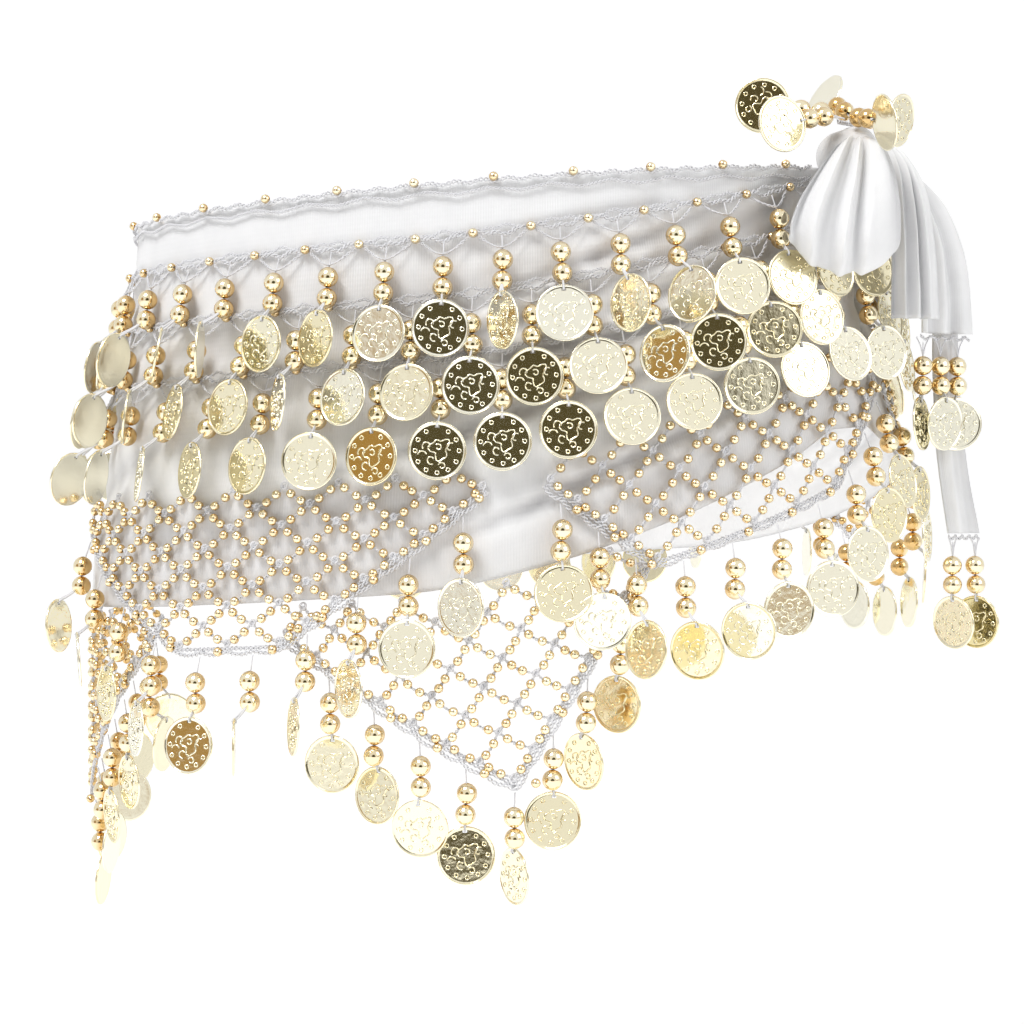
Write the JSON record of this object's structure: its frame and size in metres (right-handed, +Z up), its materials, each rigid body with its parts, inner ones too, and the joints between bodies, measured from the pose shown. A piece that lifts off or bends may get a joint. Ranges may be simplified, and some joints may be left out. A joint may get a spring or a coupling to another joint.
{
  "type": "coin hip scarf",
  "caption": "Sheer white hip scarf worn as a hollow ring and tied at one hip, with rows of gilt coins, beaded net triangles, bow loop and tails.",
  "frame": {"origin": "middle of the wearer's hips, half way down the wrap, where the wearer holds the scarf up", "axes": "+Z up, -Y to the wearer's front, +X to the wearer's left, where the knot is"},
  "size_m": [0.4192, 0.2925, 0.3732],
  "materials": {
    "chiffon": "sheer white knit chiffon",
    "crochet": "white crochet thread",
    "gilt": "polished light gold plate"
  },
  "bodies": {
    "root": {"chiffon_wrap": "chiffon", "knot": "chiffon", "bow_loop": "chiffon", "tail_front": "chiffon", "tail_back": "chiffon", "tail_strip": "chiffon", "top_edge_trim": "crochet", "net_upper_front_left": "crochet", "net_upper_front_right": "crochet", "net_upper_back_right": "crochet", "net_upper_back_left": "crochet", "net_lower_front": "crochet", "net_lower_left": "crochet", "coin_row_1": "gilt", "coin_row_2": "gilt", "coin_row_3": "gilt", "fringe_upper_front_left": "gilt", "fringe_upper_front_right": "gilt", "fringe_upper_back_right": "gilt", "fringe_upper_back_left": "gilt", "fringe_lower_front": "gilt", "fringe_lower_left": "gilt", "tail_back_fringe": "gilt", "tail_strip_fringe": "gilt", "knot_coins": "gilt"}
  },
  "joints": []
}
